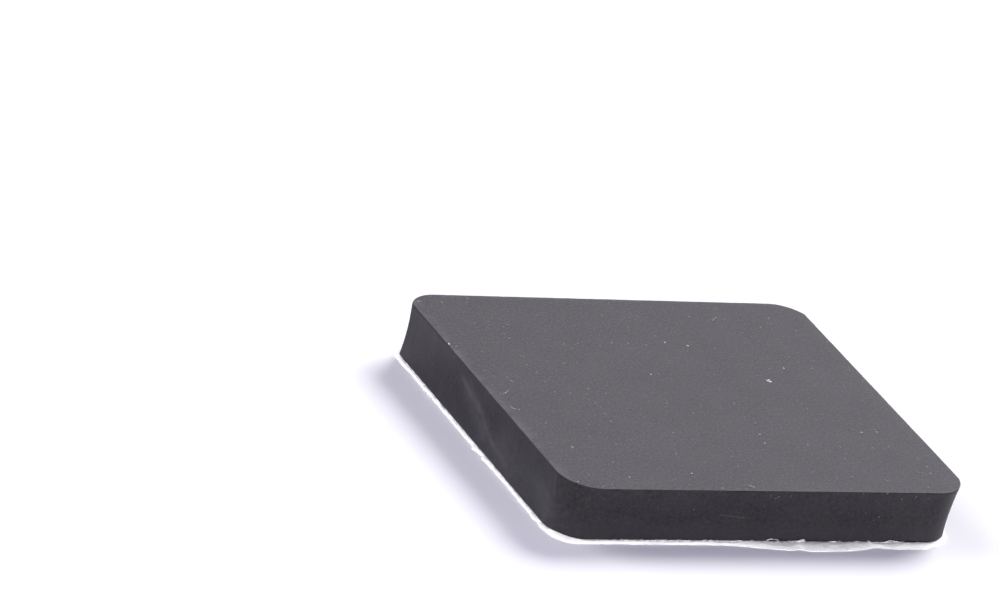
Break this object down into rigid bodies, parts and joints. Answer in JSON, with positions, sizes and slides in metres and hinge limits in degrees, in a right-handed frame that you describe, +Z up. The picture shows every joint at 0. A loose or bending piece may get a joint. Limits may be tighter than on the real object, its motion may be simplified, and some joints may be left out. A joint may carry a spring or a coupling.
{
  "type": "adhesive rubber pad",
  "caption": "Flat rounded-rectangle block of black rubber with hollow die-cut walls, adhesive film underneath and a white paper release liner, used as a cushion or foot.",
  "frame": {"origin": "middle of the pad's outline on the underside of the paper liner", "axes": "+Z up through the thickness, +X along the long side, +Y along the short side towards the back"},
  "size_m": [0.03, 0.0257, 0.004],
  "materials": {
    "rubber": "matt black rubber sheet with a fine grain",
    "adhesive": "cloudy grey adhesive film",
    "liner": "smooth white coated paper"
  },
  "bodies": {
    "root": {"rubber_pad": "rubber", "adhesive_film": "adhesive", "release_liner": "liner"}
  },
  "joints": []
}
